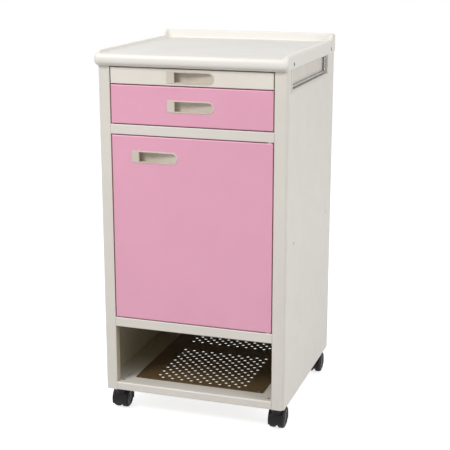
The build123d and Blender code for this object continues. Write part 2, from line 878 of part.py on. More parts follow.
pivot_foot = 26
foot_end = 5                    # past the pivot, towards the door's edge
foot_thickness = 3
with BuildPart() as pivot_pins:
    for edge_z, away in ((door_low_z, 1), (door_high_z, -1)):
        inside = edge_z + away * sheet
        with BuildSketch(Plane.XY.offset(inside)):
            with Locations((pivot_x - pivot_foot / 2 + foot_end, body_front + front_thickness / 2)):
                Rectangle(pivot_foot, front_thickness - 2 * (sheet + bend))
        extrude(amount=away * foot_thickness)
        with BuildSketch(Plane.XY.offset(inside)):
            with Locations((pivot_x, pivot_y)):
                Circle(pivot_radius)
        extrude(amount=-away * (sheet + front_gap + bush_depth - seat))
save(pivot_pins.part, "pivot_pins")

catch_inset = 87                # from the door's free edge
catch_drop = 12                 # below the divider
catch_length = 40
catch_height = 14
catch_depth = 14
catch_rounding = 1.5
strike_thickness = 1.5
strike_inset = 2                # shorter than the catch at each end
strike_corner = 3
bracket_foot = 18
bracket_inset = 6
bracket_bite = 3
catch_x = -front_half + catch_inset
catch_top_z = door_top_z - catch_drop
catch_front = fronts_back + strike_thickness + seat
catch_middle = catch_front + catch_depth / 2
with BuildPart() as strike_plate:
    with Locations((catch_x, fronts_back + strike_thickness / 2, catch_top_z - catch_height / 2)):
        Box(catch_length - 2 * strike_inset, strike_thickness, catch_height)
    fillet(strike_plate.edges().filter_by(Axis.Y), strike_corner)
save(strike_plate.part, "strike_plate")

with BuildPart() as magnet_catch:
    with Locations((catch_x, catch_middle, catch_top_z - catch_height / 2)):
        Box(catch_length, catch_depth, catch_height)
    fillet(magnet_catch.edges().filter_by(Axis.X), catch_rounding)
    # bracket, folded against the underside of the divider
    with BuildSketch(Plane.YZ.offset(catch_x)):
        with BuildLine():
            FilletPolyline(
                (catch_middle, catch_top_z - bracket_bite),
                (catch_middle, drawer_z - sheet),
                (catch_middle + bracket_foot, drawer_z - sheet),
                radius=bend,
            )
            offset(amount=sheet, side=Side.RIGHT)
        make_face()
    extrude(amount=catch_length / 2 - bracket_inset, both=True)
save(magnet_catch.part, "magnet_catch")

# ---- towel rails: a wire bail in a moulded recess on each side ----
rail_standoff = 1.2             # wire to the back of the recess
rail_x = half_width - recess_depth + rail_standoff + wire / 2
rail_pivot_z = recess_top_z - seat - housing_wall - rail_slack - wire / 2
rail_low_z = recess_bottom_z + seat + housing_wall + rail_slack + wire / 2
cavity_length = recess_length - 2 * (housing_end + seat)
housing_proud = 0.8
housing_corner = 1.5
bore_wall = 1.5                 # left outside the ends of the rail's bores
pin_end_play = 1.0
bail_end_play = 1.0
bail_shoulder = 3.2
bail_corner = 6

with BuildPart() as housing:
    with BuildSketch(Plane.YZ.offset(half_width)):
        with Locations((recess_middle, (recess_bottom_z + recess_top_z) / 2)):
            Rectangle(recess_length - 2 * seat, recess_height - 2 * seat)
    extrude(amount=-(half_width - housing_back_x))
    # flange on the skin, on three sides
    with BuildSketch(Plane.YZ.offset(half_width)):
        with Locations((recess_middle, recess_top_z - seat)):
            Rectangle(
                recess_length + 2 * housing_flange, recess_height + housing_flange,
                align=(Align.CENTER, Align.MAX),
            )
    extrude(amount=housing_proud)
    with BuildSketch(Plane.YZ.offset(half_width + housing_proud)):
        with Locations((recess_middle, (recess_bottom_z + recess_top_z) / 2)):
            RectangleRounded(cavity_length, recess_height - 2 * (housing_wall + seat), housing_corner)
    extrude(amount=-(recess_depth + housing_proud), mode=Mode.SUBTRACT)
    with BuildSketch(Plane.XZ.offset(-recess_middle)):
        with Locations((rail_x, rail_pivot_z)):
            Circle(wire / 2 + pivot_clearance)
    extrude(amount=cavity_length / 2 + housing_end - bore_wall, both=True, mode=Mode.SUBTRACT)
# back plate, two long walls and two end blocks
wall_half = cavity_length / 2 - housing_corner
rail_housing = divided(
    housing.part,
    Plane.YZ.offset(half_width - recess_depth),
    Plane.XZ.offset(wall_half - recess_middle),
    Plane.XZ.offset(-wall_half - recess_middle),
)
save(rail_housing, "rail_housing_right")
save(mirrored(rail_housing), "rail_housing_left")

bail_half = cavity_length / 2 - bail_end_play - wire / 2
pin_end = cavity_length / 2 + housing_end - bore_wall - pin_end_play
with BuildPart() as towel_rail:
    with BuildLine() as route:
        FilletPolyline(
            (rail_x, recess_middle - pin_end, rail_pivot_z),
            (rail_x, recess_middle - bail_half, rail_pivot_z),
            (rail_x, recess_middle - bail_half, rail_low_z),
            (rail_x, recess_middle + bail_half, rail_low_z),
            (rail_x, recess_middle + bail_half, rail_pivot_z),
            (rail_x, recess_middle + pin_end, rail_pivot_z),
            radius=[bail_shoulder, bail_corner, bail_corner, bail_shoulder],
        )
    with BuildSketch(Plane(origin=route.line @ 0, z_dir=route.line % 0)):
        Circle(wire / 2)
    sweep()
# low bar and two bent ends
bar_half = bail_half - bail_corner
rail_wire = divided(
    towel_rail.part,
    Plane.XZ.offset(bar_half - recess_middle),
    Plane.XZ.offset(-bar_half - recess_middle),
)
save(rail_wire, "towel_rail_right")
save(mirrored(rail_wire), "towel_rail_left")

# ---- casters: mounting plate with king pin, hood, axle and two wheels ----
plate_low = pan_under - mount_thickness
kingpin_low = plate_low - kingpin_length
hood_radius = wheel_radius + tread_gap + hood_wall
wheel_inner = web_half + wheel_play
wheel_outer = wheel_inner + wheel_width
hood_half = wheel_outer - hood_setback
hood_clip_z = wheel_radius - hood_skirt
boss_low = 2 * wheel_radius - hood_wall - boss_bite


def caster(name, x, y):
    """One twin-wheel caster whose wheels trail behind its king pin."""
    wheel_y = y + caster_trail
    with BuildPart() as mount:
        with BuildSketch(Plane.XY.offset(plate_low)):
            with Locations((x, y)):
                RectangleRounded(mount_plate, mount_plate, mount_corner)
                with GridLocations(mount_pitch, mount_pitch, 2, 2):
                    Circle(bolt_radius + seat, mode=Mode.SUBTRACT)
        extrude(amount=mount_thickness)
        with BuildSketch(Plane.XY.offset(plate_low)):
            with Locations((x, y)):
                Circle(kingpin_radius)
        extrude(amount=-(plate_low - kingpin_low))
    save(mount.part, f"caster_mount_{name}")

    side_view = Plane(origin=(x, wheel_y, wheel_radius), x_dir=(0, 1, 0), z_dir=(1, 0, 0))
    with BuildPart() as hood:
        with BuildSketch(side_view):
            Circle(hood_radius)
            with Locations((0, hood_clip_z - wheel_radius)):
                Rectangle(4 * wheel_radius, 4 * wheel_radius, align=(Align.CENTER, Align.MAX),
                          mode=Mode.SUBTRACT)
        extrude(amount=hood_half, both=True)
        fillet(hood.edges().filter_by(GeomType.CIRCLE), hood_rounding)
        with BuildSketch(Plane.XY.offset(plate_low - seat)):
            with Locations((x, y)):
                Circle(boss_radius)
        extrude(amount=-(plate_low - seat - boss_low))
        for side in (-1, 1):
            with BuildSketch(side_view.offset(side * web_half)):
                Circle(wheel_radius + tread_gap)
            extrude(amount=side * wheel_width * 2, mode=Mode.SUBTRACT)
        with BuildSketch(side_view):
            Circle(axle_radius + pivot_clearance)
        extrude(amount=2 * web_half, both=True, mode=Mode.SUBTRACT)
        with BuildSketch(Plane.XY.offset(plate_low)):
            with Locations((x, y)):
                Circle(kingpin_radius + pivot_clearance)
        extrude(amount=-(plate_low - kingpin_low + 1), mode=Mode.SUBTRACT)
    save(hood.part, f"caster_hood_{name}")

    axle_half = wheel_outer - axle_cover
    with BuildPart() as axle:
        with BuildSketch(side_view):
            Circle(axle_radius)
        extrude(amount=axle_half, both=True)
    save(axle.part, f"caster_axle_{name}")

    bore = axle_radius + pivot_clearance
    bore_end = axle_half + seat
    face_x = wheel_outer - bead_proud
    bead_high = wheel_radius - tread_shoulder
    for side, label in ((-1, "left"), (1, "right")):
        section = Plane(origin=(x, wheel_y, wheel_radius), x_dir=(side, 0, 0), z_dir=(0, side, 0))
        with BuildPart() as wheel:
            with BuildSketch(section):
                with BuildLine():
                    Polyline(
                        (bore_end, 0), (bore_end, bore), (wheel_inner, bore),
                        (wheel_inner, wheel_radius - tread_chamfer),
                        (wheel_inner + tread_chamfer, wheel_radius),
                        (wheel_outer - tread_shoulder, wheel_radius),
                    )
                    RadiusArc(
                        (wheel_outer - tread_shoulder, wheel_radius), (face_x, bead_high),
                        radius=shoulder_radius,
                    )
                    Polyline(
                        (face_x, bead_high), (wheel_outer, bead_high - bead_width / 2),
                        (face_x, bead_high - bead_width), (face_x, 0), (bore_end, 0),
                    )
                make_face()
            revolve(axis=Axis((x, wheel_y, wheel_radius), (1, 0, 0)))
        save(wheel.part, f"caster_wheel_{name}_{label}")


for name, side, y in corners:
    caster(name, side * caster_x, y)

bolt_places = [
    (side * caster_x + dx * mount_pitch / 2, y + dy * mount_pitch / 2)
    for name, side, y in corners
    for dx in (-1, 1)
    for dy in (-1, 1)
]
with BuildPart() as caster_bolts:
    with BuildSketch(Plane.XY.offset(plate_low)):
        with Locations(bolt_places):
            RegularPolygon(bolt_head_radius, 6)
    extrude(amount=-bolt_head_height)
    with BuildSketch(Plane.XY.offset(plate_low)):
        with Locations(bolt_places):
            Circle(bolt_radius)
    extrude(amount=mount_thickness + sheet)
save(caster_bolts.part, "caster_bolts")
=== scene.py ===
import json
import math
import bmesh
import bpy
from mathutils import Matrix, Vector


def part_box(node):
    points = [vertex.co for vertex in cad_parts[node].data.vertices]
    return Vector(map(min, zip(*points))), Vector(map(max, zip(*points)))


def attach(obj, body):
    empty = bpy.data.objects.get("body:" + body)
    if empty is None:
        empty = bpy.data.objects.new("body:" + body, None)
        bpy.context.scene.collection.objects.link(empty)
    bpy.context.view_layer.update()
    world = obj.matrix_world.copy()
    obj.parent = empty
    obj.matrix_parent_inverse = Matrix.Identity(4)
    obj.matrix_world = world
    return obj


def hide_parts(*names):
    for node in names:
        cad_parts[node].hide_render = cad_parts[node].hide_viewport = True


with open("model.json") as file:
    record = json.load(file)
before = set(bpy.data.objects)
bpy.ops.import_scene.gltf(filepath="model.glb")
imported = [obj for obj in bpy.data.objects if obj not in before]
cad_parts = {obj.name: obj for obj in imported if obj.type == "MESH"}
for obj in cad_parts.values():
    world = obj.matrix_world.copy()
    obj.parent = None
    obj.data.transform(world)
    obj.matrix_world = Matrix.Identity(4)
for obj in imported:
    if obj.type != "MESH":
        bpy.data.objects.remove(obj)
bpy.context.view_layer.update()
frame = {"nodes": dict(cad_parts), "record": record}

print("frame loaded:", len(frame["nodes"]), "nodes")

corners = ("front_left", "front_right", "rear_left", "rear_right")
near = 1e-5                    # places closer than this count as one, in metres
weldReach = 0.00002            # points closer than this are welded, in metres
noiseRange = (0.3, 0.7)        # where nearly all of a noise texture's values lie


# small helpers

def tone(red, green, blue):
    # a colour as it is seen, from 0 to 255, made linear for the shader
    return tuple(((c / 255 + 0.055) / 1.055) ** 2.4 for c in (red, green, blue)) + (1.0,)


def newFinish(name, roughness, metallic=0.0):
    # a finish with its node tree and its shader
    finish = bpy.data.materials.new(name)
    finish.use_nodes = True
    shader = finish.node_tree.nodes["Principled BSDF"]
    shader.inputs["Metallic"].default_value = metallic
    shader.inputs["Roughness"].default_value = roughness
    return finish, finish.node_tree, shader


def grain(tree, scale, detail=2.0, stretch=(1, 1, 1), distortion=0.0):
    # noise in the piece's own metres
    place = tree.nodes.new("ShaderNodeTexCoord")
    mapping = tree.nodes.new("ShaderNodeMapping")
    noise = tree.nodes.new("ShaderNodeTexNoise")
    mapping.inputs["Scale"].default_value = stretch
    noise.inputs["Scale"].default_value = scale
    noise.inputs["Detail"].default_value = detail
    noise.inputs["Distortion"].default_value = distortion
    tree.links.new(place.outputs["Object"], mapping.inputs["Vector"])
    tree.links.new(mapping.outputs["Vector"], noise.inputs["Vector"])
    return noise.outputs["Fac"]


def shades(tree, value, limits, fromColour, toColour):
    # a value turned into a colour between two shades
    ramp = tree.nodes.new("ShaderNodeValToRGB")
    for element, limit, colour in zip(ramp.color_ramp.elements, limits, (fromColour, toColour)):
        element.position = limit
        element.color = colour
    tree.links.new(value, ramp.inputs["Fac"])
    return ramp.outputs["Color"]


def spread(tree, value, low, high):
    # a noise value turned into one between low and high
    span = tree.nodes.new("ShaderNodeMapRange")
    span.inputs["From Min"].default_value = noiseRange[0]
    span.inputs["From Max"].default_value = noiseRange[1]
    span.inputs["To Min"].default_value = low
    span.inputs["To Max"].default_value = high
    tree.links.new(value, span.inputs["Value"])
    return span.outputs["Result"]


def relief(tree, shader, heights):
    # bumps laid over each other: (value, strength, depth in metres)
    normal = None
    for value, strength, depth in heights:
        bump = tree.nodes.new("ShaderNodeBump")
        bump.inputs["Strength"].default_value = strength
        bump.inputs["Distance"].default_value = depth
        tree.links.new(value, bump.inputs["Height"])
        if normal:
            tree.links.new(normal, bump.inputs["Normal"])
        normal = bump.outputs["Normal"]
    tree.links.new(normal, shader.inputs["Normal"])


# finishes

# painted shade inside the open shelf: darker, more olive colours on the inner faces of the side
# walls and on the floor behind its sill, standing in for shade and the brown plate's bounce light
paintedInsideShade = {
    # place across the cabinet times the way a face looks: negative on inner faces
    "wall": {
        "operation": "MULTIPLY", "along": "X", "facing": "X",
        "none": -0.1, "full": -0.2,
        "colour": tone(190, 181, 156),
    },
    # place along the depth plus the way a face looks up: the sill keeps the outside's colour
    "floor": {
        "operation": "ADD", "along": "Y", "facing": "Z",
        "none": 0.82, "full": 0.98,
        "colour": tone(168, 158, 130),
    },
}


def paintedShadeMask(tree, shadedPart):
    # where the painted shade goes: 1 on the inner faces of a side wall, or on the floor behind its
    # sill, and 0 elsewhere
    paintedShade = paintedInsideShade[shadedPart]
    place = tree.nodes.new("ShaderNodeTexCoord")
    where = tree.nodes.new("ShaderNodeSeparateXYZ")
    facing = tree.nodes.new("ShaderNodeSeparateXYZ")
    tree.links.new(place.outputs["Object"], where.inputs[0])
    tree.links.new(place.outputs["Normal"], facing.inputs[0])
    depth = tree.nodes.new("ShaderNodeMath")
    depth.operation = paintedShade["operation"]
    tree.links.new(where.outputs[paintedShade["along"]], depth.inputs[0])
    tree.links.new(facing.outputs[paintedShade["facing"]], depth.inputs[1])
    mask = tree.nodes.new("ShaderNodeMapRange")
    mask.inputs["From Min"].default_value = paintedShade["none"]
    mask.inputs["From Max"].default_value = paintedShade["full"]
    tree.links.new(depth.outputs[0], mask.inputs["Value"])
    return mask.outputs["Result"]


paintLook = {
    "cloudScale": 7,
    "cloudDetail": 3,
    "cloudRange": (0.35, 0.68),
    "handlingScale": 26,
    "handlingDetail": 4,
    "handlingRange": (-0.05, 0.07),    # added to the roughness
    "peelScale": 620,
    "peelBump": (0.12, 0.0002),        # strength, and depth in metres
    "speckScale": 1900,
    "speckBump": (0.08, 0.0001),
}


def powderCoat(name, colour, worn, roughness=0.36, shadedPart=None):
    # sprayed and baked paint: fine orange peel, faint clouding, a little handling dirt, and painted
    # shade on the inner faces when a part is given
    look = paintLook
    finish, tree, shader = newFinish(name, roughness)
    cloud = grain(tree, look["cloudScale"], look["cloudDetail"])
    peel = grain(tree, look["peelScale"], 2)
    speck = grain(tree, look["speckScale"], 1)
    paint = shades(tree, cloud, look["cloudRange"], colour, worn)
    if shadedPart:
        # painted shade: the inner faces are darker and more olive than the outside, standing in for
        # shade and the brown plate's bounce light
        inner = tree.nodes.new("ShaderNodeMixRGB")
        inner.inputs["Color2"].default_value = paintedInsideShade[shadedPart]["colour"]
        tree.links.new(paintedShadeMask(tree, shadedPart), inner.inputs["Fac"])
        tree.links.new(paint, inner.inputs["Color1"])
        paint = inner.outputs["Color"]
    tree.links.new(paint, shader.inputs["Base Color"])
    handling = grain(tree, look["handlingScale"], look["handlingDetail"])
    roughnesses = [roughness + change for change in look["handlingRange"]]
    tree.links.new(spread(tree, handling, *roughnesses), shader.inputs["Roughness"])
    relief(tree, shader, [(peel, *look["peelBump"]), (speck, *look["speckBump"])])
    return finish


mouldingLook = {
    "cloudScale": 11,
    "cloudDetail": 3,
    "cloudRange": (0.36, 0.66),
    "handlingScale": 60,
    "handlingDetail": 3,
    "handlingRange": (-0.05, 0.06),    # added to the roughness
    "textureStrength": 0.30,
    "sinkScale": 45,
    "sinkBump": (0.05, 0.0006),        # strength, and depth in metres
}


def moulding(name, colour, worn, roughness=0.42, texture=1500, depth=0.00012, mirror=0.5):
    # injection-moulded plastic with a fine eroded texture
    look = mouldingLook
    finish, tree, shader = newFinish(name, roughness)
    shader.inputs["Specular IOR Level"].default_value = mirror
    cloud = grain(tree, look["cloudScale"], look["cloudDetail"])
    tree.links.new(shades(tree, cloud, look["cloudRange"], colour, worn),
                   shader.inputs["Base Color"])
    handling = grain(tree, look["handlingScale"], look["handlingDetail"])
    roughnesses = [roughness + change for change in look["handlingRange"]]
    tree.links.new(spread(tree, handling, *roughnesses), shader.inputs["Roughness"])
    eroded = grain(tree, texture, 1)
    sinks = grain(tree, look["sinkScale"], 1)
    relief(tree, shader, [(eroded, look["textureStrength"], depth), (sinks, *look["sinkBump"])])
    return finish


topBoard = {
    "deckHeight": 0.879,
    "deckBand": 0.0006,                # how far from that height still counts as deck
    "deckFacing": (0.93, 0.99),        # how squarely the deck looks up
    "rimRoughness": 0.42,
    "deckRoughness": 0.5,
    "cloudScale": 9,
    "cloudDetail": 3,
    "cloudRange": (0.36, 0.66),
    "cloudShade": 0.965,
    "leatherScale": 750,
    "leatherTwist": 0.6,
    "leatherBump": (0.35, 0.00025),    # strength, and depth in metres
    "fineScale": 1500,
    "fineBump": (0.12, 0.00006),
}


def topShell(name, rimColour, deckColour):
    # one moulding in two textures: polished rims, and a deck with a leathery non-slip grain
    top = topBoard
    finish, tree, shader = newFinish(name, top["rimRoughness"])
    place = tree.nodes.new("ShaderNodeTexCoord")
    height = tree.nodes.new("ShaderNodeSeparateXYZ")
    facing = tree.nodes.new("ShaderNodeSeparateXYZ")
    level = tree.nodes.new("ShaderNodeMath")
    flat = tree.nodes.new("ShaderNodeMapRange")
    deck = tree.nodes.new("ShaderNodeMath")
    level.operation = "COMPARE"
    level.inputs[1].default_value = top["deckHeight"]
    level.inputs[2].default_value = top["deckBand"]
    flat.inputs["From Min"].default_value = top["deckFacing"][0]
    flat.inputs["From Max"].default_value = top["deckFacing"][1]
    deck.operation = "MULTIPLY"
    tree.links.new(place.outputs["Object"], height.inputs[0])
    tree.links.new(place.outputs["Normal"], facing.inputs[0])
    tree.links.new(height.outputs["Z"], level.inputs[0])
    tree.links.new(facing.outputs["Z"], flat.inputs["Value"])
    tree.links.new(level.outputs[0], deck.inputs[0])
    tree.links.new(flat.outputs["Result"], deck.inputs[1])
    mask = deck.outputs[0]
    both = tree.nodes.new("ShaderNodeMixRGB")
    both.inputs["Color1"].default_value = rimColour
    tree.links.new(mask, both.inputs["Fac"])
    cloud = grain(tree, top["cloudScale"], top["cloudDetail"])
    deckShade = tuple(top["cloudShade"] * c for c in deckColour[:3]) + (1.0,)
    tree.links.new(shades(tree, cloud, top["cloudRange"], deckColour, deckShade),
                   both.inputs["Color2"])
    tree.links.new(both.outputs["Color"], shader.inputs["Base Color"])
    gloss = tree.nodes.new("ShaderNodeMapRange")
    gloss.inputs["To Min"].default_value = top["rimRoughness"]
    gloss.inputs["To Max"].default_value = top["deckRoughness"]
    tree.links.new(mask, gloss.inputs["Value"])
    tree.links.new(gloss.outputs["Result"], shader.inputs["Roughness"])
    leather = tree.nodes.new("ShaderNodeMath")
    leather.operation = "MULTIPLY"
    tree.links.new(grain(tree, top["leatherScale"], 2, distortion=top["leatherTwist"]),
                   leather.inputs[0])
    tree.links.new(mask, leather.inputs[1])
    fine = grain(tree, top["fineScale"], 1)
    relief(tree, shader, [(leather.outputs[0], *top["leatherBump"]), (fine, *top["fineBump"])])
    return finish


platedLook = {
    "markScale": 260,
    "markDetail": 4,
    "markBump": (0.12, 0.0001),        # strength, and depth in metres
    "handlingScale": 90,
    "handlingDetail": 3,
    "handlingRange": (-0.08, 0.12),    # added to the roughness
}


def plated(name, light, dark, roughness, stretch):
    # plated or drawn steel with the marks of rolling along one direction
    look = platedLook
    finish, tree, shader = newFinish(name, roughness, 1.0)
    marks = grain(tree, look["markScale"], look["markDetail"], stretch)
    tree.links.new(shades(tree, marks, noiseRange, light, dark), shader.inputs["Base Color"])
    handling = grain(tree, look["handlingScale"], look["handlingDetail"], stretch)
    roughnesses = [roughness + change for change in look["handlingRange"]]
    tree.links.new(spread(tree, handling, *roughnesses), shader.inputs["Roughness"])
    relief(tree, shader, [(marks, *look["markBump"])])
    return finish


creamCoat = (tone(223, 218, 210), tone(219, 214, 205))

finishes = {
    "cream": powderCoat("creamPaint", *creamCoat),
    # painted shade on the inner faces of the side walls and on the floor pan behind its sill
    "wall": powderCoat("wallPaintWithInsideShade", *creamCoat, shadedPart="wall"),
    "floor": powderCoat("floorPaintWithInsideShade", *creamCoat, shadedPart="floor"),
    "board": powderCoat("boardPaint", tone(231, 225, 215), tone(227, 220, 209)),
    "pink": powderCoat("pinkPaint", tone(231, 166, 190), tone(227, 163, 186), 0.33),
    "plate": powderCoat("platePaint", tone(104, 84, 54), tone(92, 73, 46), 0.4),
    "top": topShell("topShell", tone(229, 225, 218), tone(219, 216, 211)),
    "pull": moulding("pullMoulding", tone(209, 200, 187), tone(201, 191, 177), 0.4),
    "inner": moulding("innerMoulding", tone(221, 216, 207), tone(213, 207, 197), 0.45),
    "screw": moulding("screwHead", tone(96, 88, 82), tone(78, 71, 66), 0.5),
    "nylon": moulding("nylon", tone(226, 223, 212), tone(217, 213, 200), 0.5),
    "black": moulding("blackHood", tone(21, 16, 19), tone(16, 12, 14), 0.38,
                      texture=1100, depth=0.00018, mirror=0.25),
    "tread": moulding("wheelTread", tone(20, 16, 18), tone(14, 11, 12), 0.55,
                      texture=800, depth=0.0002, mirror=0.2),
    "zinc": plated("zincSteel", (0.66, 0.67, 0.69, 1), (0.52, 0.53, 0.55, 1), 0.32, (1, 0.15, 1)),
    "wire": plated("wireSteel", (0.42, 0.42, 0.43, 1), (0.32, 0.32, 0.33, 1), 0.27, (1, 0.1, 1)),
}

slotFinish = {
    "cream_paint": "cream", "pink_paint": "pink", "moulded_top": "top", "cream_moulding": "inner",
    "dark_plate": "plate", "zinc_steel": "zinc", "screw_cover": "screw", "nylon": "nylon",
    "rail_wire": "wire", "caster_black": "black", "wheel_black": "tread",
}


def dress(piece, finish):
    piece.data.materials.clear()
    piece.data.materials.append(finishes[finish])


# nodes that look different from the rest of their slot
nodeFinish = {
    "tray_pull": "pull", "drawer_pull": "pull", "door_pull": "pull", "tray_front": "board",
    # the side panels and the floor pan carry the painted inside shade
    "side_panel_left": "wall", "side_panel_right": "wall", "floor_pan": "floor",
}

for entry in frame["record"]["subparts"]:
    dress(frame["nodes"][entry["node"]], slotFinish[entry["material_slot"]])
for name, finish in nodeFinish.items():
    dress(frame["nodes"][name], finish)
print("finishes on every node")


# making meshes by hand

def openEdit(piece):
    bpy.ops.object.select_all(action="DESELECT")
    piece.select_set(True)
    bpy.context.view_layer.objects.active = piece
    bpy.ops.object.mode_set(mode="EDIT")


def closeEdit():
    bpy.ops.object.mode_set(mode="OBJECT")


def pick(piece, kind, test):
    # selects the vertices, edges or faces whose middle passes the test
    bpy.ops.mesh.select_mode(type=kind)
    bpy.ops.mesh.select_all(action="DESELECT")
    work = bmesh.from_edit_mesh(piece.data)
    items = {"VERT": work.verts, "EDGE": work.edges, "FACE": work.faces}[kind]
    for item in items:
        ends = [item] if kind == "VERT" else item.verts
        middle = sum((v.co for v in ends), Vector()) / len(ends)
        item.select = bool(test(middle, item))
    work.select_flush_mode()
    bmesh.update_edit_mesh(piece.data)


def applyModifier(piece, kind, **values):
    bpy.ops.object.select_all(action="DESELECT")
    piece.select_set(True)
    bpy.context.view_layer.objects.active = piece
    modifier = piece.modifiers.new(kind.lower(), kind)
    for key, value in values.items():
        setattr(modifier, key, value)
    bpy.ops.object.modifier_apply(modifier=modifier.name)


def joinPieces(pieces):
    bpy.ops.object.select_all(action="DESELECT")
    for piece in pieces:
        piece.select_set(True)
    bpy.context.view_layer.objects.active = pieces[0]
    bpy.ops.object.join()
    return bpy.context.object


def tidyMesh(piece, weld=weldReach):
    openEdit(piece)
    bpy.ops.mesh.select_all(action="SELECT")
    bpy.ops.mesh.remove_doubles(threshold=weld)
    bpy.ops.mesh.normals_make_consistent(inside=False)
    closeEdit()


def finishPiece(piece, name, finish, body, nodes, angle):
    # the object ends at the origin with its place in its mesh
    bpy.ops.object.select_all(action="DESELECT")
    piece.select_set(True)
    bpy.context.view_layer.objects.active = piece
    bpy.ops.object.transform_apply(location=True, rotation=True, scale=True)
    bpy.ops.object.shade_smooth_by_angle(angle=math.radians(angle))
    piece.name = name
    piece.data.name = name
    # the wheel comes with its two finishes
    if finish:
        dress(piece, finish)
    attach(piece, body)
    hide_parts(*nodes)


def drawProfile(name, points):
    # a chain of points in the plane that faces the front, in millimetres
    bpy.ops.object.select_all(action="DESELECT")
    bpy.ops.mesh.primitive_plane_add(size=0.002, location=(0, 0, 0))
    piece = bpy.context.object
    piece.name = name
    openEdit(piece)
    bpy.ops.mesh.select_mode(type="VERT")
    bpy.ops.mesh.select_all(action="SELECT")
    bpy.ops.mesh.merge(type="CENTER")
    bpy.ops.transform.translate(value=(points[0][0] / 1000, 0, points[0][1] / 1000))
    for start, end in zip(points, points[1:]):
        step = ((end[0] - start[0]) / 1000, 0, (end[1] - start[1]) / 1000)
        bpy.ops.mesh.extrude_vertices_move(TRANSFORM_OT_translate={"value": step})
    closeEdit()
    return piece


def spinProfile(piece, steps, axis):
    # the profile turned once round an axis through the origin
    openEdit(piece)
    bpy.ops.mesh.select_all(action="SELECT")
    bpy.ops.mesh.spin(steps=steps, angle=2 * math.pi, center=(0, 0, 0), axis=axis)
    closeEdit()
    tidyMesh(piece)


def applyBoolean(piece, tool, operation):
    # the tool is used up
    applyModifier(piece, "BOOLEAN", operation=operation, solver="EXACT", object=tool)
    bpy.data.objects.remove(tool, do_unlink=True)


def copyPiece(piece, turn, place):
    # a copy with a mesh of its own, turned round the upright axis
    other = piece.copy()
    other.data = piece.data.copy()
    bpy.context.scene.collection.objects.link(other)
    other.rotation_euler = (0, 0, turn)
    other.location = place
    return other


# perforated shelf plate

shelfPlate = {
    "holeRadius": 0.004,
    "holePoints": 16,
    "pitchX": 0.0245,
    "pitchY": 0.026,               # from one row to the next but one
    "columns": 10,                 # in a full row, and one less in a short one
    "frontRow": -0.1605,           # the first row, a short one
    "frontPairs": 8,
    "rearRow": 0.0985,             # the first row behind the cross bar, a full one
    "rearPairs": 3,
    "cornerRadius": 0.005,
    "cornerSteps": 4,
    "rimBevel": 0.00025,
    "rimAngle": math.radians(60),
    "smoothAngle": 40,
    "screwHead": 0.0036,
    "sinkSteps": 32,
    "sinkProfile": (               # out from the screw, and up from the plate's top, in millimetres
        (0.0, 1.0), (4.9, 1.0), (2.5, -1.4), (2.5, -2.5), (0.0, -2.5),
    ),
}


def holeCell(x, y):
    # one hole in a rectangular cell, with as many points round the cell as round the hole
    points = shelfPlate["holePoints"]
    bpy.ops.mesh.primitive_circle_add(vertices=points, radius=shelfPlate["holeRadius"],
                                      location=(x, y, 0))
    piece = bpy.context.object
    openEdit(piece)
    bpy.ops.mesh.select_all(action="SELECT")
    bpy.ops.mesh.extrude_edges_move()
    halfX, halfY = shelfPlate["pitchX"] / 2, shelfPlate["pitchY"] / 4
    # a corner of the cell lies this many points from the middle of a side
    corner = points // 8
    work = bmesh.from_edit_mesh(piece.data)
    for vert in work.verts:
        if vert.select:
            step = round(math.atan2(vert.co.y, vert.co.x) / (2 * math.pi / points))
            across = max(-corner, min(corner, 2 * corner - abs(step)))
            up = math.copysign(min(corner, abs(step), 4 * corner - abs(step)), step)
            vert.co.x = halfX * across / corner
            vert.co.y = halfY * up / corner
    bmesh.update_edit_mesh(piece.data)
    closeEdit()
    return piece


def halfBlank(x, y):
    # the plain end of a short row, with the same points along its edges as a cell
    sides = shelfPlate["holePoints"] // 4
    bpy.ops.mesh.primitive_grid_add(x_subdivisions=sides // 2, y_subdivisions=sides, size=1,
                                    location=(x, y, 0))
    piece = bpy.context.object
    piece.scale = (shelfPlate["pitchX"] / 2, shelfPlate["pitchY"] / 2, 1)
    bpy.ops.object.transform_apply(location=False, rotation=False, scale=True)
    return piece


def holeRow(y, short):
    # a short row lies half a pitch aside and is made up to full width by its plain ends
    pitch = shelfPlate["pitchX"]
    columns = shelfPlate["columns"] - 1 if short else shelfPlate["columns"]
    row = [holeCell(-(columns - 1) / 2 * pitch, y)]
    applyModifier(row[0], "ARRAY", count=columns, use_relative_offset=False,
                  use_constant_offset=True, constant_offset_displace=(pitch, 0, 0))
    if short:
        end = (columns / 2 + 0.25) * pitch
        row += [halfBlank(-end, y), halfBlank(end, y)]
    return joinPieces(row)


def repeatRows(rows, count):
    field = joinPieces(rows)
    applyModifier(field, "ARRAY", count=count, use_relative_offset=False,
                  use_constant_offset=True,
                  constant_offset_displace=(0, shelfPlate["pitchY"], 0))
    return field


def makeHoleField():
    # both fields of holes, with a plain strip between them over the pan's cross bar
    plate = shelfPlate
    pitch = plate["pitchY"]
    frontRow, rearRow = plate["frontRow"], plate["rearRow"]
    front = repeatRows([holeRow(frontRow, True), holeRow(frontRow + pitch / 2, False)],
                       plate["frontPairs"])
    rear = repeatRows([holeRow(rearRow, False), holeRow(rearRow + pitch / 2, True)],
                      plate["rearPairs"])
    last = holeRow(rearRow + plate["rearPairs"] * pitch, False)
    piece = joinPieces([front, rear, last])
    bpy.ops.object.transform_apply(location=True, rotation=True, scale=True)
    tidyMesh(piece)
    frontEnd = frontRow - pitch / 4 + plate["frontPairs"] * pitch
    strip = rearRow - pitch / 4 - frontEnd
    openEdit(piece)
    pick(piece, "EDGE", lambda middle, edge: abs(middle.y - frontEnd) < near
         and abs(edge.verts[0].co.y - middle.y) < near)
    bpy.ops.mesh.extrude_edges_move(TRANSFORM_OT_translate={"value": (0, strip, 0)})
    bpy.ops.mesh.select_all(action="SELECT")
    bpy.ops.mesh.remove_doubles(threshold=weldReach)
    closeEdit()
    return piece


